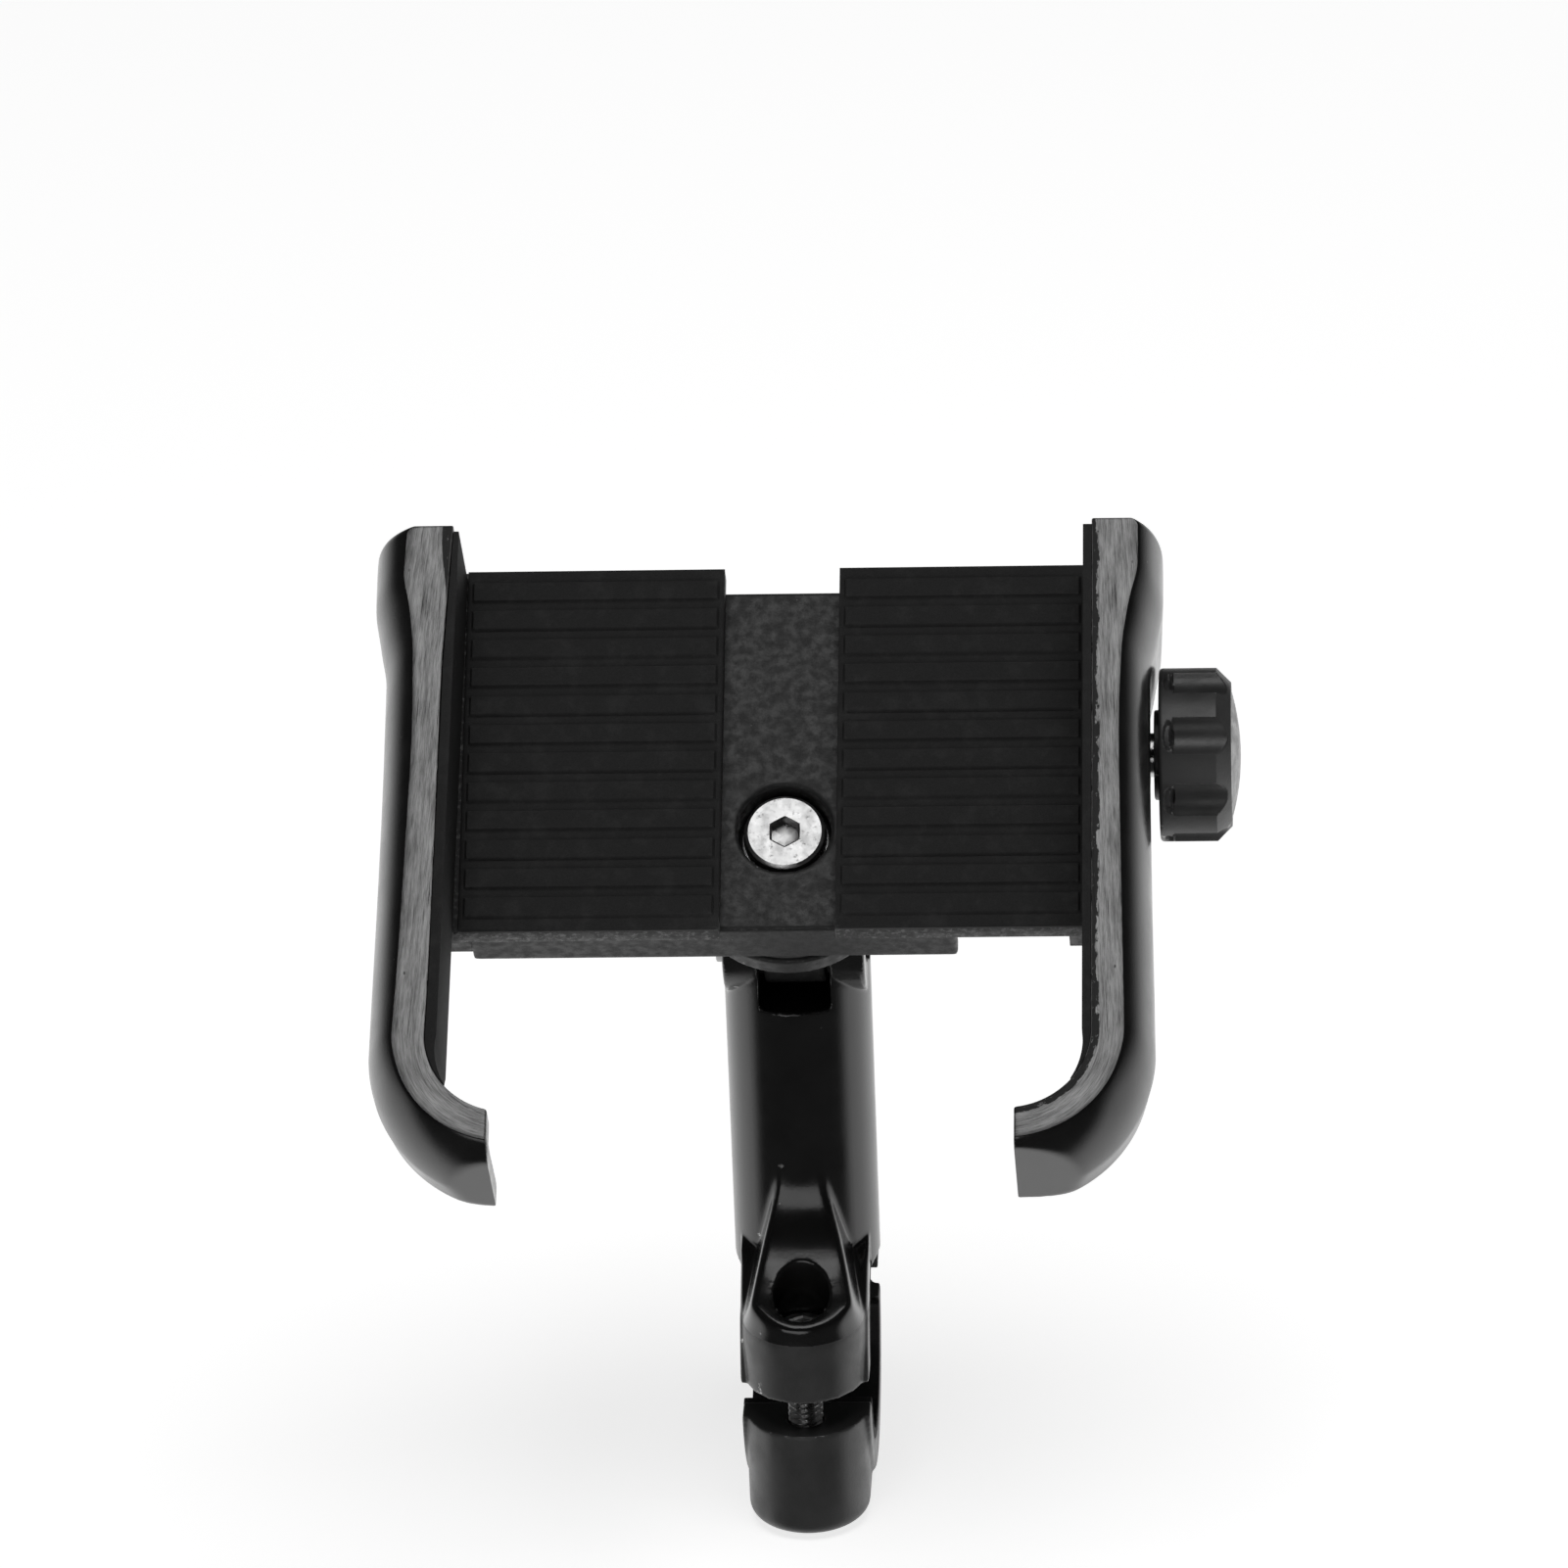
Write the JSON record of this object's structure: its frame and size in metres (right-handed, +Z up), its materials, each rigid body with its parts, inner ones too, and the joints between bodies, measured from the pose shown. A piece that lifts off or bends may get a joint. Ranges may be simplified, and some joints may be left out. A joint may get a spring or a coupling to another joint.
{
  "type": "phone handlebar mount",
  "caption": "Phone holder for a motorcycle handlebar: a bar clamp and stem carry a tilting, swivelling cradle whose knob-driven jaw grips the phone between hooked arms.",
  "frame": {"origin": "centre of the handlebar clamp bore, halfway along the clamp", "axes": "+X along the handlebar to the knob side, +Z up the stem, -Y towards the rider; the cradle's face looks to -Y and up"},
  "size_m": [0.097, 0.0793, 0.1198],
  "materials": {
    "black_gloss": "high-gloss black coating on cast aluminium",
    "arm_black": "satin black coating with brushed bare metal on the front face",
    "black_satin": "satin black anodised aluminium",
    "rubber": "matte black rubber",
    "zinc": "bright zinc-plated steel",
    "steel": "ground stainless steel",
    "brass": "machined brass",
    "nylon": "matte black nylon",
    "knob_black": "satin black coated aluminium with bright worn edges",
    "cap_silver": "satin natural aluminium"
  },
  "bodies": {
    "stem": {"stem": "black_gloss", "upper_liner": "rubber", "tilt_bolt": "zinc", "tilt_nut": "zinc", "tilt_bolt_washer": "zinc", "tilt_friction_washers": "nylon"},
    "cap": {"clamp_cap": "black_gloss", "lower_liner": "rubber"},
    "front_screw": {"front_clamp_screw": "zinc"},
    "rear_screw": {"rear_clamp_screw": "zinc"},
    "knuckle": {"tilt_knuckle": "black_satin", "swivel_disc": "nylon", "swivel_bolt": "zinc"},
    "cradle": {"cradle_body": "black_satin", "lead_nut": "brass", "rod_bushes": "brass", "swivel_washer": "steel", "left_arm": "arm_black", "left_bracket": "black_satin", "left_bed_pad": "rubber", "left_side_pad": "rubber", "left_hook_pad": "rubber", "left_bracket_screws": "zinc", "left_arm_screws": "zinc"},
    "jaw": {"right_arm": "arm_black", "right_bracket": "black_satin", "right_bed_pad": "rubber", "right_side_pad": "rubber", "right_hook_pad": "rubber", "right_arm_screws": "zinc", "guide_rods": "steel", "screw_bush": "brass"},
    "knob": {"lead_screw": "steel", "knob": "knob_black", "knob_cap": "cap_silver", "retaining_ring": "steel"}
  },
  "joints": [
    {"name": "cap_slide", "type": "slide", "parent": "stem", "child": "cap", "axis": [0, 0, -1], "range_m": [0, 0.003]},
    {"name": "front_screw_turn", "type": "hinge", "parent": "stem", "child": "front_screw", "pos_m": [0, -0.016, 0.0076], "axis": [0, 0, 1], "range_deg": [0, 1545]},
    {"name": "rear_screw_turn", "type": "hinge", "parent": "stem", "child": "rear_screw", "pos_m": [0, 0.016, 0.0076], "axis": [0, 0, 1], "range_deg": [0, 1545]},
    {"name": "tilt", "type": "hinge", "parent": "stem", "child": "knuckle", "pos_m": [0, 0, 0.0545], "axis": [1, 0, 0], "range_deg": [-38, 35]},
    {"name": "swivel", "type": "hinge", "parent": "knuckle", "child": "cradle", "pos_m": [0, 0, 0.0545], "axis": [0, -0.6157, 0.788], "continuous": true},
    {"name": "jaw_slide", "type": "slide", "parent": "cradle", "child": "jaw", "axis": [1, 0, 0], "range_m": [-0.012, 0.014]},
    {"name": "knob_turn", "type": "hinge", "parent": "jaw", "child": "knob", "pos_m": [0.042, -0.00313, 0.07604], "axis": [1, 0, 0], "range_deg": [-5405, 6305]}
  ],
  "couplings": [
    {"joint": "front_screw_turn", "follows": "cap_slide", "rad_per_m": 8976},
    {"joint": "rear_screw_turn", "follows": "cap_slide", "rad_per_m": 8976},
    {"joint": "knob_turn", "follows": "jaw_slide", "rad_per_m": 7854}
  ]
}
